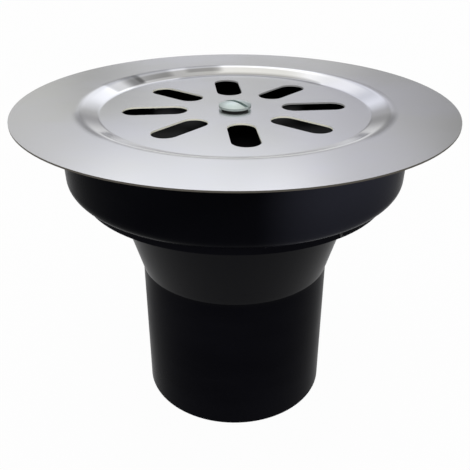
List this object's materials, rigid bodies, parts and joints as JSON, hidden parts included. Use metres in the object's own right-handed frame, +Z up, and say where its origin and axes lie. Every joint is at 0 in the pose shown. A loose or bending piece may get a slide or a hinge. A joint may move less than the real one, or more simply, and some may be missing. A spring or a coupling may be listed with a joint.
{
  "type": "gully trap",
  "caption": "Round floor drain with a slotted strainer plate, a moulded bowl with a bell water seal inside, and a plain spigot outlet below.",
  "frame": {"origin": "centre of the spigot's open end, the lowest point of the drain, on its axis", "axes": "+Z up along the drain's axis, from the spigot to the strainer plate; one drain slot lies along +X"},
  "size_m": [0.16, 0.16, 0.1229],
  "materials": {
    "stainless_sheet": "satin",
    "zinc_plate": "pale zinc plating",
    "rubber": "matt",
    "bell_plastic": "satin",
    "bowl_plastic": "satin",
    "outlet_plastic": "satin"
  },
  "bodies": {
    "root": {"strainer_plate": "stainless_sheet", "centre_screw": "zinc_plate", "screw_washer": "rubber", "hex_nut": "zinc_plate", "bell_trap": "bell_plastic", "trap_bowl": "bowl_plastic", "outlet_body": "outlet_plastic"}
  },
  "joints": []
}
